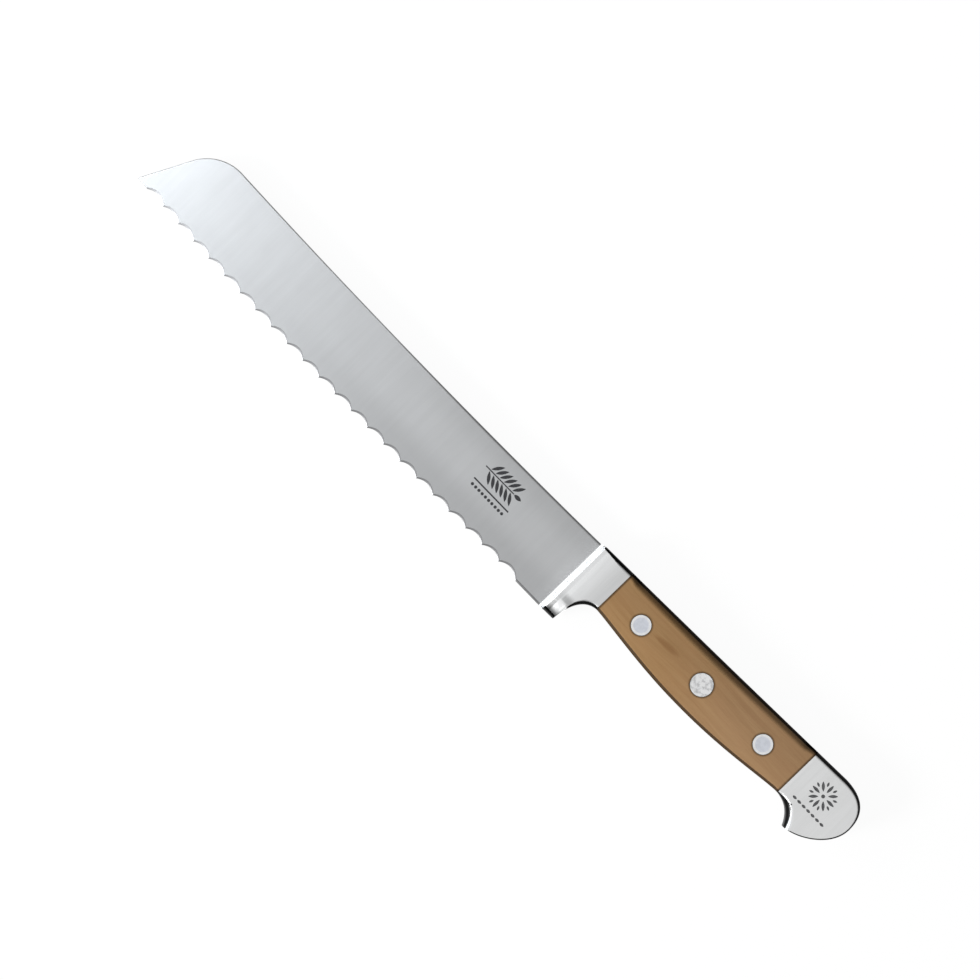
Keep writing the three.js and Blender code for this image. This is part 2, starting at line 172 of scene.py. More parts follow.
def blade_outline():
    slope = math.atan(TIP_SLOPE)
    spine_start = (SPINE_Y - TIP_EDGE_Y) / TIP_SLOPE + TIP_RADIUS * math.tan(slope / 2)
    curved = np.linspace(0, EDGE_CURVE_END, 60, endpoint=False)
    x = np.concatenate([curved, [EDGE_CURVE_END, 150, BOLSTER_FACE]])
    edge = np.stack([x, edge_y(x)], axis=1)
    control = ((BLADE_END + spine_start) / 2, SPINE_CONTROL_Y)
    back = bezier((BLADE_END, SPINE_Y), control, (spine_start, SPINE_Y))
    turn = np.linspace(math.pi / 2, math.pi / 2 + slope, 40)[1:]
    arc = np.stack([np.cos(turn), np.sin(turn)], axis=1) * TIP_RADIUS + (spine_start, SPINE_Y - TIP_RADIUS)
    front = np.linspace(arc[-1], (0, TIP_EDGE_Y), 12)[1:-1]
    points = np.concatenate([edge, [(BOLSTER_FACE, SPINE_Y)], back(np.linspace(0, 1, 120)), arc, front])
    spine_edges = (TIP_FRONT_EDGE, SPINE_EDGE, SPINE_EDGE, HEEL_SPINE_EDGE)
    spine = np.interp(points[:, 0], (10, 30, 100, 150), spine_edges)
    edge = np.where(points[:, 0] > HEEL_EDGE_FROM, HEEL_EDGE, CUTTING_EDGE)
    return points, np.where(points[:, 1] > TIP_EDGE_Y + 1, spine, edge)


def blade_half(x, y):
    """Half the blade's thickness."""
    return BLADE_HALF + THINNER_TO_TIP * (x - BLADE_END) + WEDGE * (y - SPINE_Y)


# ---- Meshes ---------------------------------------------------------------------------------------------


def made_mesh(name, vertices, faces):
    """A closed mesh object with its faces looking out."""
    mesh = bpy.data.meshes.new(name)
    mesh.from_pydata([tuple(v) for v in vertices], [], faces)
    work = bmesh.new()
    work.from_mesh(mesh)
    bmesh.ops.recalc_face_normals(work, faces=work.faces)
    work.to_mesh(mesh)
    work.free()
    piece = bpy.data.objects.new(name, mesh)
    bpy.context.scene.collection.objects.link(piece)
    return piece


def loft(name, rings):
    """A closed body through rings of equally many points."""
    count = len(rings[0])
    faces = []
    for r in range(len(rings) - 1):
        for i in range(count):
            j = (i + 1) % count
            faces.append((r * count + i, r * count + j, (r + 1) * count + j, (r + 1) * count + i))
    last = (len(rings) - 1) * count
    faces.append(tuple(reversed(range(count))))
    faces.append(tuple(range(last, last + count)))
    return made_mesh(name, np.concatenate(rings), faces)


def rounded(name, points, radii, half, steps=10, deeper=1.0):
    """A body with the outline at z = 0, a flat face half(x, y) up and down from there, and round edges that
    reach radii in from the outline and deeper times that down from the flat."""
    ahead = np.roll(points, -1, axis=0) - points
    ahead /= np.linalg.norm(ahead, axis=1)[:, None]
    along = ahead + np.roll(ahead, 1, axis=0)
    along /= np.linalg.norm(along, axis=1)[:, None]
    inward = np.stack([-along[:, 1], along[:, 0]], axis=1)
    inward /= np.maximum((along * ahead).sum(1), 0.6)[:, None]
    rings = []
    for side, turns in ((-1, range(steps, -1, -1)), (1, range(steps + 1))):
        for k in turns:
            turn = k / steps * math.pi / 2
            xy = points + inward * (radii * (1 - math.cos(turn)))[:, None]
            z = side * (half(xy[:, 0], xy[:, 1]) - radii * deeper * (1 - math.sin(turn)))
            rings.append(np.column_stack([xy, z]))
    return loft(name, rings)


def block(name, low, high):
    (x0, y0, z0), (x1, y1, z1) = low, high
    ring = [(x0, y0), (x1, y0), (x1, y1), (x0, y1)]
    return loft(name, [np.array([(x, y, z) for x, y in ring]) for z in (z0, z1)])


def prism(name, outlines, bottom, top):
    """Upright prisms of the outlines, as one object. bottom and top are functions of x and y."""
    vertices, faces = [], []
    for outline in outlines:
        outline = np.asarray(outline, float)
        start, count = len(vertices), len(outline)
        for level in (bottom, top):
            vertices.extend(np.column_stack([outline, level(outline[:, 0], outline[:, 1])]))
        for i in range(count):
            j = (i + 1) % count
            faces.append((start + i, start + j, start + count + j, start + count + i))
        faces.append(tuple(start + i for i in reversed(range(count))))
        faces.append(tuple(start + count + i for i in range(count)))
    return made_mesh(name, vertices, faces)


def turned(name, profile, centre, segments=96):
    """A body turned about the upright line through centre. The profile is (radius, z) from its lower end to
    its upper end, and both ends are filled."""
    turns = np.arange(segments) / segments * 2 * math.pi
    x, y = centre
    circle = np.column_stack([np.cos(turns), np.sin(turns)])
    return loft(name, [np.column_stack([circle * r + (x, y), np.full(segments, z)]) for r, z in profile])


def boolean(target, tool, operation):
    """Cuts or joins target with tool, which is used up."""
    step = target.modifiers.new("step", "BOOLEAN")
    step.object = tool
    step.operation = operation
    step.solver = "MANIFOLD"
    graph = bpy.context.evaluated_depsgraph_get()
    mesh = bpy.data.meshes.new_from_object(target.evaluated_get(graph))
    target.modifiers.clear()
    spent = [target.data, tool.data]
    target.data = mesh
    mesh.materials.clear()
    bpy.data.objects.remove(tool)
    for old in spent:
        bpy.data.meshes.remove(old)
    if not mesh.polygons:
        raise RuntimeError(f"{target.name}: nothing is left after {operation}")
    return target


# The directions that the handle's and the blade's flat upper faces look in.
FLAT = [(0, 0, 1), (-THINNER_TO_TIP, -WEDGE, 1)]


def shade(piece, angle=32):
    """Normals that are smooth across small bends, sharp at edges, and true on the ground flat faces."""
    mesh = piece.data
    faces = len(mesh.polygons)
    normals = np.empty(faces * 3)
    mesh.polygons.foreach_get("normal", normals)
    normals = normals.reshape(-1, 3)
    area = np.empty(faces)
    mesh.polygons.foreach_get("area", area)
    total = np.empty(faces, int)
    mesh.polygons.foreach_get("loop_total", total)
    corner_vertex = np.empty(len(mesh.loops), int)
    mesh.loops.foreach_get("vertex_index", corner_vertex)
    corner_face = np.repeat(np.arange(faces), total)
    flat = np.zeros(faces, bool)
    for x, y, z in FLAT:
        up = np.array([x, y, z]) / math.hypot(x, y, z)
        for way in (up, up * (1, 1, -1)):
            flat |= normals @ way > math.cos(math.radians(0.05))
    weight = area * np.where(flat, 1e4, 1)
    order = np.argsort(corner_vertex, kind="stable")
    sorted_vertex = corner_vertex[order]
    first = np.searchsorted(sorted_vertex, sorted_vertex, "left")
    count = np.searchsorted(sorted_vertex, sorted_vertex, "right") - first
    spot = np.arange(len(order)) - first
    own = corner_face[order]
    result = normals[own] * weight[own][:, None]
    live = np.arange(len(order))
    limit = math.cos(math.radians(angle))
    for shift in range(1, int(count.max())):
        live = live[count[live] > shift]
        other = own[first[live] + (spot[live] + shift) % count[live]]
        near = (normals[own[live]] * normals[other]).sum(1) > limit
        result[live[near]] += normals[other[near]] * weight[other[near]][:, None]
    result[flat[own]] = normals[own][flat[own]]
    result /= np.linalg.norm(result, axis=1)[:, None]
    corners = np.empty_like(result)
    corners[order] = result
    mesh.polygons.foreach_set("use_smooth", np.ones(faces, bool))
    mesh.normals_split_custom_set(corners.astype(np.float32))
    return piece


def settle(piece):
    """Puts a body drawn in millimetres where it belongs in the row frame."""
    piece.data.transform(Matrix.Translation(Vector(ORIGIN)) @ Matrix.Scale(MM, 4))
    return piece


def face_table(piece):
    """The middle and the normal of each of its faces, in drawing millimetres."""
    mesh = piece.data
    middle = np.array([p.center for p in mesh.polygons])
    normal = np.array([p.normal for p in mesh.polygons])
    return middle, normal


# ---- Forging --------------------------------------------------------------------------------------------

FACET_ANGLE = math.radians(20)  # of the narrow facet along the scallops on the upper side
FACET_REACH = 1.8
FACET_SHARE = math.tan(FACET_ANGLE) / (math.tan(FACET_ANGLE) + math.tan(BEVEL_ANGLE))


def wheel(name, x, y, z, angle, side, segments=300):
    """A grinding wheel that touches the blade's upper side at (x, y, z) and cuts a scallop's width there. It
    cuts from below, rising to the cutting edge, for side -1, and from above for side 1."""
    sink = SCALLOP_DEPTH * math.sin(angle)
    radius = SCALLOP_PITCH**2 / (8 * sink) + sink / 2
    across = np.array([0, math.sin(angle), -side * math.cos(angle)])
    axis = np.array([0, math.cos(angle), side * math.sin(angle)])
    centre = np.array([x, y, z]) - across * radius
    turns = np.arange(segments) / segments * 2 * math.pi
    circle = np.outer(np.cos(turns), (radius, 0, 0)) + np.outer(np.sin(turns), across * radius)
    return loft(name, [centre + circle + axis * 20 * end for end in (-1, 1)])


def made_blade():
    made = rounded("blade", *blade_outline(), blade_half, 8, BLADE_EDGES_DEEPER)
    for number in range(SCALLOPS):
        drift = SCALLOP_DRIFT * math.sin(math.pi * number / (SCALLOPS - 1))
        x = FIRST_SCALLOP + number * SCALLOP_PITCH - drift
        top = edge_y(x) + SCALLOP_DEPTH + DEEPER_STEP * max(0, number - DEEPER_FROM)
        y = float(top) - FACET_REACH * FACET_SHARE
        boolean(made, wheel("hollow", x, y, blade_half(x, y), BEVEL_ANGLE, -1), "DIFFERENCE")
        y += FACET_REACH
        boolean(made, wheel("facet", x, y, blade_half(x, y), FACET_ANGLE, 1), "DIFFERENCE")
    return made


def bolster_front():
    """What the bolster's front is cut to: a fillet out of the blade's side, a steep wall, a round edge, and a
    side that falls a little towards the front."""
    fillet, wall_top, wall_lean = 1.35, 7.6, 0.45
    crown, crown_end = 0.45, 219.5
    turn = np.linspace(0, math.pi / 2, 16)
    rings = []
    for y in np.linspace(EDGE_Y - 1, SPINE_Y + 4, 2):
        base = blade_half(BLADE_END, y)
        points = [(BLADE_END + fillet * math.sin(t), base + fillet * (1 - math.cos(t))) for t in turn]
        x, z = BLADE_END + fillet + wall_lean, HANDLE_HALF - crown - wall_top
        points += [(x + 0.35 * (1 - math.cos(t)), wall_top + z * math.sin(t)) for t in turn]
        side_from = points[-1][0]
        for x in np.linspace(side_from, crown_end, 14)[1:]:
            fall = (crown_end - x) / (crown_end - side_from)
            points.append((x, HANDLE_HALF + 0.002 - crown * fall**2))
        points.append((BOLSTER_BACK, HANDLE_HALF + 1))
        upper = [(x, y, z) for x, z in points]
        rings.append(np.array(upper + [(x, y, -z) for x, y, z in reversed(upper)]))
    return loft("bolster_front", rings)


def heel_cutter(side):
    """What is ground off one side of the bolster's heel: a gentle slope, and a round that narrows the heel to
    its underside."""
    slope_from, slope, round_from, bottom_half = 3.6, math.radians(20), -1.6, 1.2
    deep = HANDLE_HALF - (slope_from - round_from) * math.tan(slope) - bottom_half
    turn = np.linspace(0.1, math.pi / 2, 30)
    z = bottom_half + deep * np.cos(turn)
    y = round_from - (round_from - EDGE_Y) * np.sin(turn)
    far = HANDLE_HALF + 2
    below = (HANDLE_HALF - 0.7 * math.tan(slope), slope_from - 0.7)
    outline = [(far, EDGE_Y - 2), (far, slope_from), (HANDLE_HALF, slope_from), below, *zip(z, y)]
    outline.append((bottom_half, EDGE_Y - 2))
    rings = [np.array([(x, y, side * z) for z, y in outline]) for x in (BOLSTER_BACK - 20, BOLSTER_BACK)]
    return loft("heel_cutter", rings)


def hook_grind(name):
    """A body larger than the handle all round, but for the inside of the hook, with its wide round edge."""
    inside = handle_stretches()[HOOK_STRETCH][0](np.linspace(0, 1, 60))
    onward = inside[-1] - inside[-2]
    end = inside[-1] + onward / np.linalg.norm(onward) * 12
    past = [end, (LENGTH + 30, end[1]), (LENGTH + 30, 60), (-30, 60), (-30, -30), (220, -30), (290, 6)]
    points = np.concatenate([inside, past])
    radii = np.where(np.arange(len(points)) <= len(inside), HOOK_EDGE, 0.3)
    grows = np.linspace(HOOK_EDGE_START / HOOK_EDGE, 1, 30)
    radii[:30] *= grows
    return rounded(name, points, radii, lambda x, y: np.full(len(x), HANDLE_HALF))


def handle_body(name, wooden=False):
    """The handle as it is ground. The wooden part's spine is rounder than the steel's."""
    points, radii = handle_outline()
    deeper = 1
    if wooden:
        along = np.clip((points[:, 0] - BOLSTER_BACK) / (POMMEL_FRONT - BOLSTER_BACK), 0, 1)
        from_joint = np.minimum(points[:, 0] - BOLSTER_BACK, POMMEL_FRONT - points[:, 0]) / WOOD_SOFTENS_OVER
        share = np.where(points[:, 1] > SPINE_Y, np.sin(np.clip(from_joint, 0, 1) * math.pi / 2) ** 2, 0)
        radii = radii + share * (WOOD_SOFTER + (WOOD_SOFTEST - WOOD_SOFTER) * np.sin(along * math.pi) ** 2)
        deeper = 1 + (WOOD_DEEPER - 1) * share
    made = rounded(name, points, radii, lambda x, y: np.full(len(x), HANDLE_HALF), 14, deeper)
    return boolean(made, hook_grind("hook_grind"), "INTERSECT")


def leaf(x, y, length, width, turn, steps=9):
    """A pointed leaf from (x, y), lying at the angle turn."""
    t = np.linspace(0, 1, steps)
    half = width / 2 * np.sin(math.pi * t) ** 0.8
    along = np.concatenate([t, t[-2:0:-1]]) * length
    aside = np.concatenate([-half, half[-2:0:-1]])
    c, s = math.cos(turn), math.sin(turn)
    return np.column_stack([x + along * c - aside * s, y + along * s + aside * c])


def bar(x0, x1, y, width):
    return np.array([(x0, y - width / 2), (x1, y - width / 2), (x1, y + width / 2), (x0, y + width / 2)])


def disc(x, y, radius, steps=24):
    turns = np.arange(steps) / steps * 2 * math.pi
    return np.column_stack([x + radius * np.cos(turns), y + radius * np.sin(turns)])


ETCH_DEPTH = 0.03
STAMP_DEPTH = 0.12
ETCHED_REGION = ((155, 180), (5, 24))  # the x and the y that the etched ornament lies between
STAMPED_REGION = ((POMMEL_FRONT + 1, LENGTH - 5), (11.5, 28))  # the same, for the stamped one


def blade_ornament():
    """An ear of wheat over a rule and a row of dots, etched into the blade."""
    ear = [bar(158.4, 172.4, 17.4, 0.45)]
    for k in range(6):
        for way in (1, -1):
            ear.append(leaf(160.6 + k * 2.1, 17.4 + way * 0.4, 5.0, 1.25, way * math.radians(52)))
    ear.append(leaf(172.6, 17.4, 3.4, 1.5, 0))
    rule = [bar(158.4, 175.6, 11.5, 0.55)]
    dots = [disc(159.6 + k * 1.64, 9.5, 0.58) for k in range(10)]
    return prism(
        "etching",
        ear + rule + dots,
        lambda x, y: blade_half(x, y) - ETCH_DEPTH,
        lambda x, y: blade_half(x, y) + 1,
    )


def pommel_ornament():
    """A rosette over a row of lozenges, stamped into the pommel."""
    x, y = 324.5, 21.6
    marks = [disc(x, y, 0.7)]
    for k in range(8):
        turn = k * math.pi / 4
        marks.append(leaf(x + 1.7 * math.cos(turn), y + 1.7 * math.sin(turn), 3.6, 1.1, turn))
        turn += math.pi / 8
        marks.append(leaf(x + 3.6 * math.cos(turn), y + 3.6 * math.sin(turn), 1.8, 0.8, turn))
    marks += [leaf(316.8 + k * 2.25, 14.2, 1.9, 1.0, 0) for k in range(7)]
    return prism(
        "stamp",
        marks,
        lambda x, y: np.full(len(x), HANDLE_HALF - STAMP_DEPTH),
        lambda x, y: np.full(len(x), HANDLE_HALF + 1.0),
    )


def made_forging():
    past, above = 4, 40
    reach = HANDLE_HALF + past
    bolster = boolean(handle_body("bolster"), bolster_front(), "INTERSECT")
    for side in (-1, 1):
        boolean(bolster, heel_cutter(side), "DIFFERENCE")
    pommel_box = block("pommel_box", (POMMEL_FRONT, -past, -reach), (LENGTH + past, above, reach))
    pommel = boolean(handle_body("pommel"), pommel_box, "INTERSECT")
    low, high = (BOLSTER_BACK - past, -past, -TANG_HALF), (POMMEL_FRONT + past, above, TANG_HALF)
    tang_box = block("tang_box", low, high)
    tang = boolean(handle_body("tang"), tang_box, "INTERSECT")
    made = made_blade()
    for piece in (bolster, tang, pommel):
        boolean(made, piece, "UNION")
    for x, y, _head, tube in RIVETS.values():
        hole = turned("hole", [(tube + 0.1, -2 * TANG_HALF), (tube + 0.1, 2 * TANG_HALF)], (x, y))
        boolean(made, hole, "DIFFERENCE")
    boolean(made, blade_ornament(), "DIFFERENCE")
    boolean(made, pommel_ornament(), "DIFFERENCE")
    made.name = "forging_detailed"
    return made


# ---- Scales and rivets ----------------------------------------------------------------------------------


def made_scale(side):
    inner, outer = TANG_HALF + GLUE_LINE, HANDLE_HALF + 1
    low, high = sorted((side * inner, side * outer))
    box = block("scale_box", (BOLSTER_BACK + GLUE_LINE, -5, low), (POMMEL_FRONT - GLUE_LINE, 40, high))
    made = boolean(handle_body("scale", True), box, "INTERSECT")
    step = HANDLE_HALF - HEAD_HEIGHT - GLUE_LINE
    for x, y, head, tube in RIVETS.values():
        profile = [(tube, 0), (tube, step), (head, step), (head, HANDLE_HALF + 2)]
        profile = [(r + GLUE_LINE, side * z) for r, z in profile]
        boolean(made, turned("stepped_hole", profile, (x, y)), "DIFFERENCE")
    made.name = "scale_upper_detailed" if side > 0 else "scale_lower_detailed"
    return made


def head_profile(head, dish):
    """The outer face of a rivet's head, from its rim in: an eased rim, a flat ring and a shallow dish."""
    top, ease, depth = HANDLE_HALF, 0.14, 0.05
    turns = np.linspace(0, math.pi / 2, 5)
    rim = [(head - ease * (1 - math.cos(t)), top - ease * (1 - math.sin(t))) for t in turns]
    return [*rim, (dish + 0.35, top), (dish + 0.12, top - depth * 0.6), (dish, top - depth)]


def made_rivet(place_name):
    """The two halves of a rivet: the pin, with the upper head, and the tube that it is pressed into."""
    x, y, head, tube = RIVETS[place_name]
    pin = tube - 0.8
    dish = head * 0.66
    neck = HANDLE_HALF - HEAD_HEIGHT
    face = head_profile(head, dish)
    upper = [(pin, -neck + 0.8), (pin, neck), (head, neck), *face]
    lower = [(r, -z) for r, z in reversed(face)]
    bore, end = pin + GLUE_LINE, neck - 0.3
    lower += [(head, -neck), (tube, -neck), (tube, end), (bore, end), (bore, -neck)]
    return (
        turned(f"rivet_pin_{place_name}_detailed", upper, (x, y)),
        turned(f"rivet_tube_{place_name}_detailed", lower, (x, y)),
    )


# ---- Materials ------------------------------------------------------------------------------------------


class Graph:
    """A material's or the world's nodes, made by short calls that return sockets."""

    def __init__(self, tree):
        self.tree = tree
        tree.nodes.clear()

    def node(self, kind, inputs=(), **settings):
        made = self.tree.nodes.new(kind)
        for key, value in settings.items():
            setattr(made, key, value)
        for key, value in dict(inputs).items():
            self.feed(made.inputs[key], value)
        return made

    def feed(self, socket, value):
        if isinstance(value, bpy.types.NodeSocket):
            self.tree.links.new(value, socket)
        else:
            socket.default_value = value

    def math(self, operation, *values):
        made = self.tree.nodes.new("ShaderNodeMath")
        made.operation = operation
        for socket, value in zip(made.inputs, values):
            self.feed(socket, value)
        return made.outputs[0]

    def add(self, *values):
        total = values[0]
        for value in values[1:]:
            total = self.math("ADD", total, value)
        return total

    def times(self, *values):
        total = values[0]
        for value in values[1:]:
            total = self.math("MULTIPLY", total, value)
        return total

    def ease(self, value, start, end, low=0.0, high=1.0):
        """Goes smoothly from low to high as value goes from start to end."""
        inputs = {"Value": value, "From Min": start, "From Max": end, "To Min": low, "To Max": high}
        return self.node("ShaderNodeMapRange", inputs, interpolation_type="SMOOTHSTEP").outputs["Result"]

    def vector(self, x, y, z):
        return self.node("ShaderNodeCombineXYZ", {0: x, 1: y, 2: z}).outputs[0]

    def noise(self, vector, scale=1.0, detail=2.0, roughness=0.5):
        """Noise from 0 to 1, mostly near 0.5."""
        inputs = {"Vector": vector, "Scale": scale, "Detail": detail, "Roughness": roughness}
        return self.node("ShaderNodeTexNoise", inputs).outputs["Fac"]

    def drawing(self):
        """The drawing's x, y and z of the shaded point, in millimetres."""
        point = self.node("ShaderNodeTexCoord").outputs["Object"]
        split = self.node("ShaderNodeSeparateXYZ", {0: point}).outputs
        return [self.math("MULTIPLY_ADD", split[k], 1 / MM, -ORIGIN[k] / MM) for k in range(3)]

    def normal(self):
        """The surface's normal, as x, y and z."""
        normal = self.node("ShaderNodeTexCoord").outputs["Normal"]
        return self.node("ShaderNodeSeparateXYZ", {0: normal}).outputs

    def less(self, value):
        """1 less the value."""
        return self.math("SUBTRACT", 1, value)

    def between(self, value, *ends):
        """1 between the middle two of the four ends, and smoothly 0 outside the outer two."""
        return self.times(self.ease(value, ends[0], ends[1]), self.ease(value, ends[3], ends[2]))

    def mix(self, factor, a, b):
        made = self.node("ShaderNodeMix", data_type="RGBA")
        self.feed(made.inputs["Factor"], factor)
        for socket, value in zip([s for s in made.inputs if s.type == "RGBA"], (a, b)):
            self.feed(socket, value if isinstance(value, bpy.types.NodeSocket) else (*value, 1))
        return next(s for s in made.outputs if s.type == "RGBA")

    def grey_scaled(self, colour, factor):
        """The colour times a number."""
        made = self.node("ShaderNodeVectorMath", {0: colour}, operation="SCALE")
        self.feed(made.inputs["Scale"], factor)
        return made.outputs[0]

    def surface(self, **inputs):
        shader = self.node("ShaderNodeBsdfPrincipled", inputs).outputs[0]
        self.node("ShaderNodeOutputMaterial", {"Surface": shader})


def new_material(name):
    made = bpy.data.materials.new(name)
    made.use_nodes = True
    return made, Graph(made.node_tree)


def steel(name, colour, roughness, anisotropy=0.7, streak=0.06, painted_light_at=None):
    """Steel ground across the knife. The shading function, if given, takes the graph and x, y, z, and gives a
    number that the colour is multiplied by: painted light and shade."""
    made, g = new_material(name)
    x, y, z = g.drawing()
    fine = g.noise(g.vector(g.times(x, 3.2), g.times(y, 0.07), 0.0), 1, 2, 0.5)
    wide = g.noise(g.vector(g.times(x, 0.42), g.times(y, 0.028), 2.0), 1, 2, 0.5)
    cloud = g.noise(g.vector(g.times(x, 0.06), g.times(y, 0.06), 4.0), 1, 2, 0.5)
    level = g.add(
        1,
        g.times(g.add(fine, -0.5), streak),
        g.times(g.add(wide, -0.5), streak * 1.6),
        g.times(g.add(cloud, -0.5), streak),
    )
    if painted_light_at:
        level = g.times(level, painted_light_at(g, x, y, z))
    rgb = g.node("ShaderNodeRGB")
    rgb.outputs[0].default_value = (*colour, 1)
    g.surface(
        **{
            "Base Color": g.grey_scaled(rgb.outputs[0], level),
            "Metallic": 1.0,
            "Roughness": g.add(roughness, g.times(g.add(fine, -0.5), 0.06)),
            "Anisotropic": anisotropy,
            "Tangent": g.vector(1, 0, 0),
        }
    )
    return made


def blade_painted_light(g, x, y, _z):
    """Painted shade on the blade: it is a little darker along its cutting edge and its spine, most of all
    towards the heel. Its round spine carries a painted highlight, brighter towards the tip."""
    heel = g.ease(x, 60, 150)
    low = g.less(g.times(g.ease(y, 11.0, 1.0), g.add(0.03, g.times(heel, 0.10))))
    high = g.less(g.times(g.ease(x, 90, 165), g.ease(y, 15.0, 25.5, 0.0, 0.12)))
    _across, side, _up = g.normal()
    tip = g.times(g.ease(x, 150, 60), g.ease(side, 0.2, 0.6, 0.0, 0.75))
    return g.times(low, high, g.add(g.ease(side, 0.03, 0.22, 1.0, 0.9), tip))


def edge_painted_light(g, x, _y, _z):
    """Painted light: the scallops' facets are brighter towards the tip, and the plain edge by the heel is
    darker.
    """
    return g.times(g.ease(x, 0, 120, 1.6, 1.0), g.ease(x, 193, 196, 1.0, 0.6))


def below_spine(g, x, y):
    """How far the point is below the handle's spine, seen from the side. The spine is nearly a parabola."""
    along = g.add(x, -BOLSTER_FACE)
    spine = g.add(HANDLE_SPINE_Y, g.times(along, 0.0256), g.times(along, along, 5.46e-5))
    return g.math("SUBTRACT", spine, y)


def fillet_painted_highlight(g, x):
    """A painted highlight: the fillet out of the blade and the wall behind it are brighter than the bolster's
    side.
    """
    start, end = BLADE_END + 0.6, BOLSTER_FACE
    return g.add(1, g.times(g.between(x, start, start + 0.3, end - 0.2, end), 0.3))


def heel_painted_shade(g, x, y):
    """Painted shade on the bolster: a darker strip behind the fillet, and a heel that darkens above the ground
    slope, towards its underside and towards its rear. The slope's upper part is painted a little brighter."""
    strip = g.add(g.ease(y, 8.0, 4.0, 0.10, 0.28), g.ease(y, 3.2, 1.0, 0.0, 0.34))
    face = BOLSTER_FACE
    strip = g.times(strip, g.between(x, face - 0.4, face, face + 1.1, face + 1.7))
    above = g.times(g.between(y, 3.0, 4.2, 4.9, 7.5), g.between(x, 209.8, 211.0, 214.0, 215.0), 0.42)
    rear = g.times(g.ease(x, 212.9, 213.6), g.ease(y, 4.0, 3.2), 0.4)
    under = g.ease(g.add(y, g.ease(x, 210.2, 209.0, 0.0, 0.8)), 1.6, -1.9, 1.15, 0.1)
    under = g.add(1, g.times(g.add(under, -1), g.ease(x, 208.0, 208.8), g.ease(y, 4.0, 3.2)))
    return g.times(under, g.less(strip), g.less(above), g.less(rear))


def handle_painted_light(g, x, y, z):
    """Painted light and shade on the handle's steel: black on its round edges and below the bolster's spine.
    The bolster is darker at its very front and towards the wood, and the pommel is brighter beside the wood."""
    across, side, _up = g.normal()
    across = g.math("MAXIMUM", across, 0.0)
    past = g.math("GREATER_THAN", x, POMMEL_FRONT - 1)
    lean = g.math("SQRT", g.add(g.times(across, across), g.times(side, side)))
    sooner = g.times(past, g.math("LESS_THAN", side, 0.0), g.ease(x, POMMEL_FRONT, 320, -0.25, 0.15))
    upright = g.ease(lean, 0.985, 0.998)
    edge = g.math("MAXIMUM", g.ease(g.add(lean, sooner), 0.34, 0.50, 1.0, 0.02), upright)
    bolster = g.times(g.ease(x, 209.5, 220.0, 1.10, 0.87), fillet_painted_highlight(g, x), heel_painted_shade(g, x, y))
    neck = g.between(x, BOLSTER_FACE - 0.2, BOLSTER_FACE + 0.1, BOLSTER_BACK - 3, BOLSTER_BACK)
    off_middle = g.ease(g.math("ABSOLUTE", z), 4.0, 5.0)
    # A painted black line below the bolster's spine, on its sides.
    line = g.times(g.ease(below_spine(g, x, y), 1.25, 0.8), neck, off_middle, 0.97)
    pommel = g.ease(x, POMMEL_FRONT, POMMEL_FRONT + 1.8, 1.10, 1.02)
    level = g.add(g.times(bolster, g.less(past)), g.times(pommel, past))
    return g.times(edge, level, g.less(line))


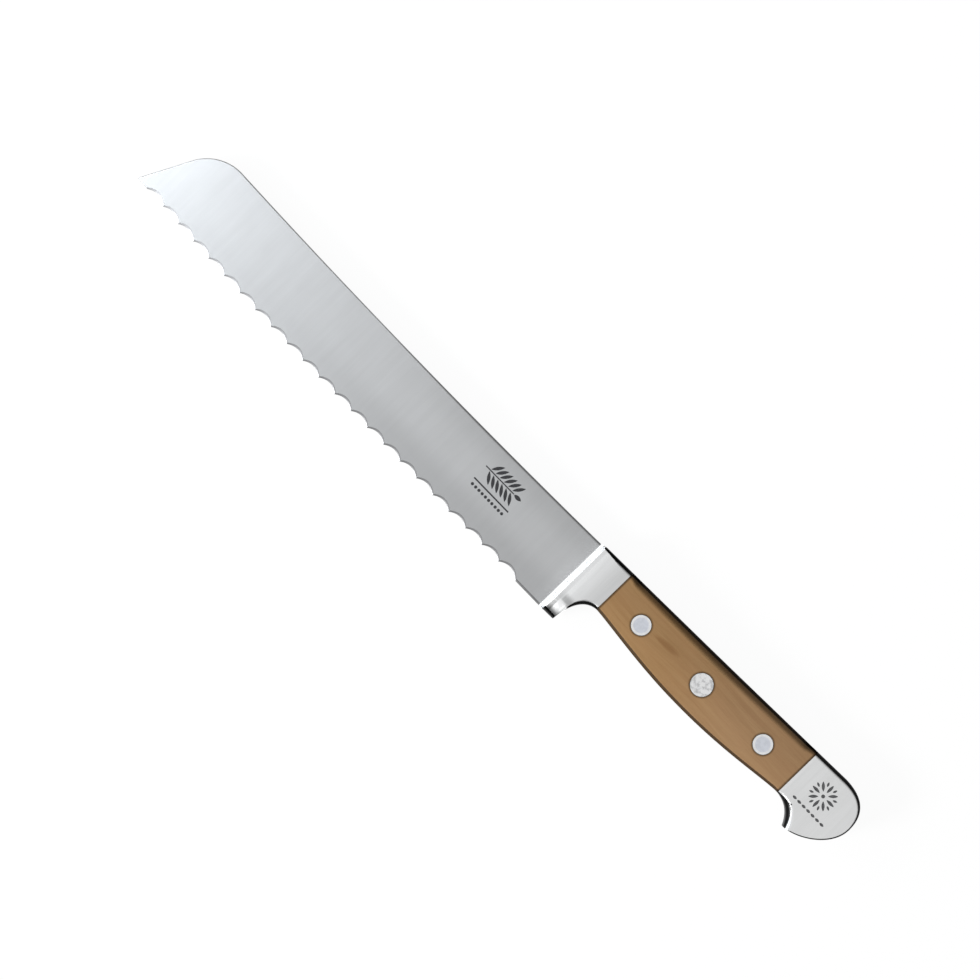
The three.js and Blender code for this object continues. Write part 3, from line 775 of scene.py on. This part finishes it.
def pear_wood(name):
    """Oiled pear wood with its grain along the handle. It is darker beside the steel and the rivets.
    Painted shade makes it darker towards the spine and along the spine by the joints, and nearly black on its
    round edges."""
    made, g = new_material(name)
    x, y, z = g.drawing()
    bend = g.times(g.add(g.noise(g.vector(g.times(x, 0.02), 0.0, 3.0), 1, 1), -0.5), 5)
    across = g.add(y, bend)
    grain = g.noise(g.vector(g.times(x, 0.022), g.times(across, 0.42), g.times(z, 0.42)), 1, 4, 0.6)
    fibre = g.noise(g.vector(g.times(x, 0.16), g.times(across, 4.2), g.times(z, 4.2)), 1, 3, 0.6)
    cloud = g.noise(g.vector(g.times(x, 0.09), g.times(y, 0.16), g.times(z, 0.16)), 1, 3, 0.5)
    pores = g.noise(g.vector(g.times(x, 0.9), g.times(across, 7.5), g.times(z, 7.5)), 1, 2, 0.5)
    pore = g.ease(pores, 0.62, 0.74)
    warm = g.mix(g.ease(grain, 0.3, 0.7), (0.285, 0.160, 0.068), (0.335, 0.200, 0.090))
    warm = g.mix(g.times(g.ease(cloud, 0.35, 0.72), 0.5), warm, (0.320, 0.180, 0.081))
    # A small figure in the wood between the first two rivets, on the upper scale.
    figure_x, figure_y, half_length, half_width = 248.2, 19.1, 6.2, 1.5
    along = g.add(x, -figure_x)
    dx = g.times(along, 1 / half_length)
    dy = g.times(g.add(y, -figure_y, g.times(along, -0.06)), 1 / half_width)
    ring = g.add(g.times(dx, dx), g.times(dy, dy), g.times(g.add(grain, -0.5), 1.6))
    figure = g.times(g.ease(ring, 1.15, 0.0), 0.6, g.ease(z, 0, 1))
    warm = g.mix(figure, warm, (0.205, 0.098, 0.036))
    warm = g.mix(g.times(pore, 0.22), warm, (0.16, 0.08, 0.035))
    warm = g.mix(g.ease(x, 245, 290, 0.0, 0.08), warm, (0.44, 0.30, 0.26))
    # Painted shade: lighter towards the belly and darker towards the spine.
    level = g.times(g.add(1, g.times(g.add(fibre, -0.5), 0.22)), g.ease(y, 9.0, 25.0, 1.07, 0.89))
    joint = g.math("MINIMUM", g.add(x, -BOLSTER_BACK), g.math("SUBTRACT", POMMEL_FRONT, x))
    level = g.times(level, g.ease(joint, 0.35, 1.1, 0.32, 1.0))
    _across, side, up = g.normal()
    up = g.math("ABSOLUTE", up)
    belly = g.math("LESS_THAN", side, 0.0)
    spine = g.less(belly)
    # Painted shade by the way the surface faces: darker round edges along the belly and along the spine.
    belly_edge_shade = g.times(g.between(up, 0.03, 0.12, 0.93, 0.99), belly, 0.82)
    rim = g.times(g.between(up, 0.03, 0.12, 0.42, 0.58), spine, 0.92)
    # Painted shade along the spine beside each joint: brown, and black nearest the edge.
    by_joint = g.times(g.ease(joint, 8.0, 3.0), g.ease(g.math("ABSOLUTE", z), 4.0, 5.0))
    below = below_spine(g, x, y)
    joint_shade_brown = g.times(by_joint, g.ease(below, 2.5, 1.5), 0.5)
    joint_shade_black = g.times(by_joint, g.ease(below, 1.3, 0.8), 0.9)
    level = g.times(level, g.less(belly_edge_shade), g.less(rim), g.less(joint_shade_brown), g.less(joint_shade_black))
    for rx, ry, head, _tube in RIVETS.values():
        away = g.node("ShaderNodeVectorMath", {0: g.vector(x, y, 0.0), 1: (rx, ry, 0)}, operation="DISTANCE")
        level = g.times(level, g.ease(away.outputs["Value"], head + 0.1, head + 0.9, 0.42, 1.0))
    bump = g.node("ShaderNodeBump", {"Strength": 0.25, "Distance": 0.00004, "Height": fibre}).outputs[0]
    g.surface(
        **{
            "Base Color": g.grey_scaled(warm, level),
            "Roughness": g.add(0.5, g.times(g.add(fibre, -0.5), 0.15)),
            # The painted black shade has no sheen either.
            "Specular IOR Level": g.times(g.less(rim), g.less(joint_shade_black), 0.12),
            "Normal": bump,
        }
    )
    return made


def rivet_steel(name, head, centre, middle_colour, mottle):
    """A rivet's ground head: a bright ring round a cooler middle, and a dark, dull rim. The bright ring is a
    painted highlight, and the rim's darkness a painted shade.
    """
    made, g = new_material(name)
    x, y, _z = g.drawing()
    rx, ry = centre
    away = g.node("ShaderNodeVectorMath", {0: g.vector(x, y, 0.0), 1: (rx, ry, 0)}, operation="DISTANCE")
    away = away.outputs["Value"]
    cloud = g.noise(g.vector(g.times(x, 0.55), g.times(y, 0.55), 7.0), 1, 2, 0.6)
    fine = g.noise(g.vector(g.times(x, 3), g.times(y, 0.5), 1.0), 1, 2, 0.5)
    colour = g.mix(g.ease(away, head * 0.66, head * 0.84), middle_colour, (1.0, 1.0, 1.0))
    # The mottle stands for reflections in the head: a painted reflection.
    mottled = g.times(g.add(g.ease(cloud, 0.34, 0.62), -0.75), mottle)
    level = g.add(1, mottled, g.times(g.add(fine, -0.5), 0.06))
    # Painted shade on the rim.
    level = g.times(level, g.ease(away, head - 0.22, head - 0.04, 1.0, 0.2))
    g.surface(
        **{
            "Base Color": g.grey_scaled(colour, level),
            "Metallic": 1.0,
            "Roughness": g.ease(away, head - 0.25, head - 0.15, 0.32, 0.8),
            "Anisotropic": 0.4,
            "Tangent": g.vector(1, 0, 0),
        }
    )
    return made


def dark_mark(name, colour):
    """Blackened steel at the bottom of an etched or stamped mark."""
    made, g = new_material(name)
    x, y, z = g.drawing()
    speck = g.noise(g.vector(g.times(x, 3), g.times(y, 3), z), 1, 3, 0.6)
    rgb = g.node("ShaderNodeRGB")
    rgb.outputs[0].default_value = (*colour, 1)
    g.surface(
        **{
            "Base Color": g.grey_scaled(rgb.outputs[0], g.ease(speck, 0.3, 0.7, 0.7, 1.35)),
            "Roughness": 0.7,
            "Specular IOR Level": 0.15,
        }
    )
    return made


# ---- The knife ------------------------------------------------------------------------------------------


def within(x, y, region):
    (x0, x1), (y0, y1) = region
    return (x > x0) & (x < x1) & (y > y0) & (y < y1)


def finish_forging(piece):
    """Gives each region of the forging its finish."""
    middle, normal = face_table(piece)
    blade, satin, ground, etched, stamped = range(5)
    finishes = [
        steel("blade_steel", (0.60, 0.605, 0.61), 0.30, painted_light_at=blade_painted_light),
        steel("satin_steel", (0.90, 0.905, 0.905), 0.30, 0.55, 0.08, handle_painted_light),
        # The ground facets are rougher than the blade, and their dark colour is a painted shade.
        steel("edge_steel", (0.27, 0.27, 0.275), 0.42, 0.0, painted_light_at=edge_painted_light),
        dark_mark("etched_mark", (0.035, 0.035, 0.037)),
        dark_mark("stamped_mark", (0.085, 0.085, 0.087)),
    ]
    for made in finishes:
        piece.data.materials.append(made)
    x, y, z = middle.T
    index = np.where(x < BLADE_END, blade, satin)
    plain_edge = x > 194
    least_lean = np.where(plain_edge, 0.05, 0.2)
    falls = (normal[:, 1] < -least_lean) & (normal[:, 2] > 0.2)
    index[(x < BLADE_END) & falls & (y < 3)] = ground
    below_flat = (z > 0) & (z < blade_half(x, y) - ETCH_DEPTH * 0.3)
    index[within(x, y, ETCHED_REGION) & below_flat] = etched
    below_flat = (z > HANDLE_HALF - 1) & (z < HANDLE_HALF - STAMP_DEPTH * 0.3)
    near_middle = np.hypot(x - 324, y - 20) < 10
    index[within(x, y, STAMPED_REGION) & below_flat & near_middle] = stamped
    piece.data.polygons.foreach_set("material_index", index.astype(np.int32))
    return piece


def hand_over(piece, slot, *nodes):
    """A finished piece takes its place on the knife."""
    settle(shade(piece))
    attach(piece, "root")
    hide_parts(*nodes)


hand_over(finish_forging(made_forging()), "forged_steel", "forging")

wood = pear_wood("pear_wood")
for side, node in ((1, "scale_upper"), (-1, "scale_lower")):
    scale = made_scale(side)
    scale.data.materials.append(wood)
    hand_over(scale, "pear_wood", node)

for rivet, (rivet_x, rivet_y, head, _tube) in RIVETS.items():
    # The middle rivet's head is paler and more mottled: painted reflections.
    tint, mottle = ((0.97, 0.97, 0.98), 0.42) if rivet == "middle" else ((0.79, 0.82, 0.89), 0.08)
    metal = rivet_steel(f"rivet_steel_{rivet}", head, (rivet_x, rivet_y), tint, mottle)
    for half, node in zip(made_rivet(rivet), (f"rivet_pin_{rivet}", f"rivet_tube_{rivet}")):
        half.data.materials.append(metal)
        hand_over(half, "rivet_steel", node)

# ---- Studio ---------------------------------------------------------------------------------------------

TABLE_RADIUS = 6.0


def emitter(name, colour, strength, diffuse=0.0):
    """A pale surface that glows, as a lit table does."""
    made, g = new_material(name)
    inputs = {"Base Color": (diffuse, diffuse, diffuse, 1), "Roughness": 1.0, "Specular IOR Level": 0.0}
    g.surface(**inputs, **{"Emission Color": (*colour, 1), "Emission Strength": strength})
    return made


def made_table():
    """The pale floor that the knife lies on. It neither shows in the steel nor lights the knife."""
    ring = disc(0, 0, TABLE_RADIUS, 96)
    mesh = bpy.data.meshes.new("table")
    mesh.from_pydata([(x, y, -0.0001) for x, y in ring], [], [tuple(range(len(ring)))])
    table = bpy.data.objects.new("table", mesh)
    bpy.context.scene.collection.objects.link(table)
    table.data.materials.append(emitter("table_white", (1, 1, 1), 0.95, 0.05))
    table.visible_glossy = False
    table.visible_diffuse = False


def made_backdrop():
    """A pale dome round the studio, seen only by the camera."""
    mesh = bpy.data.meshes.new("backdrop")
    work = bmesh.new()
    bmesh.ops.create_uvsphere(work, u_segments=64, v_segments=32, radius=TABLE_RADIUS)
    work.to_mesh(mesh)
    work.free()
    backdrop = bpy.data.objects.new("backdrop", mesh)
    bpy.context.scene.collection.objects.link(backdrop)
    backdrop.data.materials.append(emitter("backdrop_white", (1, 1, 1), 0.93))
    for ray in ("visible_diffuse", "visible_glossy", "visible_transmission", "visible_shadow"):
        setattr(backdrop, ray, False)


def made_surround():
    """A pale band round the studio and below it, seen only in the steel, as walls and a table are."""
    mesh = bpy.data.meshes.new("surround")
    work = bmesh.new()
    bmesh.ops.create_uvsphere(work, u_segments=64, v_segments=36, radius=TABLE_RADIUS * 0.98)
    too_high = [v for v in work.verts if v.co.z > TABLE_RADIUS * math.sin(math.radians(31))]
    bmesh.ops.delete(work, geom=too_high, context="VERTS")
    work.to_mesh(mesh)
    work.free()
    surround = bpy.data.objects.new("surround", mesh)
    bpy.context.scene.collection.objects.link(surround)
    surround.data.materials.append(emitter("surround_white", (1, 1, 1), 0.4))
    for ray in ("visible_camera", "visible_diffuse", "visible_transmission", "visible_shadow"):
        setattr(surround, ray, False)


def sky(lobes):
    """Soft panels far off, as regions of the sky. Each is its middle's direction, the angles from there at
    which it starts to fade and ends, and its colour."""
    world = bpy.data.worlds.new("studio")
    bpy.context.scene.world = world
    world.use_nodes = True
    g = Graph(world.node_tree)
    way = g.node("ShaderNodeTexCoord").outputs["Generated"]
    total = (0, 0, 0)
    for direction, inner, outer, colour in lobes:
        towards = tuple(Vector(direction).normalized())
        dot = g.node("ShaderNodeVectorMath", {0: way, 1: towards}, operation="DOT_PRODUCT").outputs["Value"]
        amount = g.ease(dot, math.cos(math.radians(outer)), math.cos(math.radians(inner)))
        part = g.grey_scaled(colour, amount)
        total = g.node("ShaderNodeVectorMath", {0: part, 1: total}, operation="ADD").outputs[0]
    up = g.node("ShaderNodeSeparateXYZ", {0: way}).outputs[2]
    colour = g.grey_scaled(total, g.ease(up, -0.02, 0.04))
    background = g.node("ShaderNodeBackground", {"Color": colour}).outputs[0]
    g.node("ShaderNodeOutputWorld", {"Surface": background})


def lamp(name, kind, place, aim, colour, **settings):
    data = bpy.data.lights.new(name, kind)
    data.color = colour
    for key, value in settings.items():
        setattr(data, key, value)
    made = bpy.data.objects.new(name, data)
    made.location = place
    made.rotation_euler = (Vector(place) - Vector(aim)).to_track_quat("Z", "Y").to_euler()
    made.visible_camera = False
    bpy.context.scene.collection.objects.link(made)


def light_studio():
    sky(
        [
            ((0, 0, 1), 0, 54, (0.72, 0.72, 0.72)),
            ((-1, 0, 0.25), 15, 40, (0.5, 0.5, 0.5)),
        ]
    )
    # A flat panel close above and beyond the tip, so that the blade is brightest there.
    inner, long, wide, height, glow = -0.231, 0.5, 0.6, 0.345, 4.1
    x, y = inner - long / 2, 0.05 - wide / 2
    power = glow * math.pi * long * wide
    shape = {"shape": "RECTANGLE", "size": long, "size_y": wide}
    lamp("tip_panel", "AREA", (x, y, height), (x, y, 0), (0.955, 1.02, 1.085), **shape, energy=power)
    lamp("key", "SUN", (-0.41, -0.71, 0.57), (0, 0, 0), (1, 1, 1), angle=math.radians(20), energy=3.2)


def made_camera():
    """Looks straight down through a long lens, so that the knife runs from upper left to lower right."""
    distance, width = 3.0, 0.34525
    aim = place((165.5, 12.4, HANDLE_HALF / 2))
    data = bpy.data.cameras.new("camera")
    data.sensor_width = 36
    data.lens = data.sensor_width * distance / width
    data.clip_end = 20
    camera = bpy.data.objects.new("camera", data)
    camera.location = (aim[0], aim[1], aim[2] + distance)
    camera.rotation_euler = (0, 0, math.radians(45.916))
    bpy.context.scene.collection.objects.link(camera)
    bpy.context.scene.camera = camera


made_table()
made_backdrop()
made_surround()
light_studio()
made_camera()
bpy.context.scene.view_settings.view_transform = "Standard"
